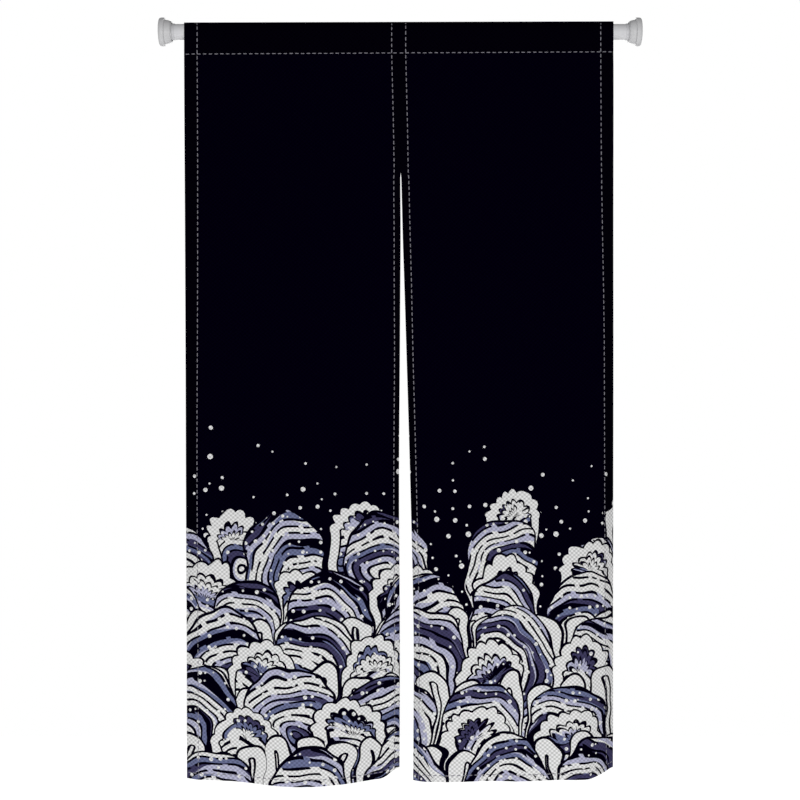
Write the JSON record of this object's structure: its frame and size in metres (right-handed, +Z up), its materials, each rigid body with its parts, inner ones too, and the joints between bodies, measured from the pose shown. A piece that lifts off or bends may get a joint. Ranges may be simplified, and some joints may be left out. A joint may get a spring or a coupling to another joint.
{
  "type": "partition curtain with tension rod",
  "caption": "Split doorway curtain: hemmed dark cloth panels with a printed lower band, hung by rod pockets from a tension rod with wide end caps.",
  "frame": {"origin": "on the rod's axis, at the middle of the left cap's flat wall face", "axes": "+X along the rod from the left cap to the right cap, +Y away from the viewer, towards the back of the cloth, +Z up"},
  "size_m": [0.952, 0.089, 1.5147],
  "materials": {
    "cloth": "matt printed plain weave",
    "tube": "satin white paint",
    "cap": "satin light grey",
    "collar": "satin light grey"
  },
  "bodies": {
    "root": {"panel_left": "cloth", "panel_right": "cloth", "rod_tube": "tube", "cap_left": "cap", "cap_right": "cap", "collar_left": "collar", "collar_right": "collar"}
  },
  "joints": []
}
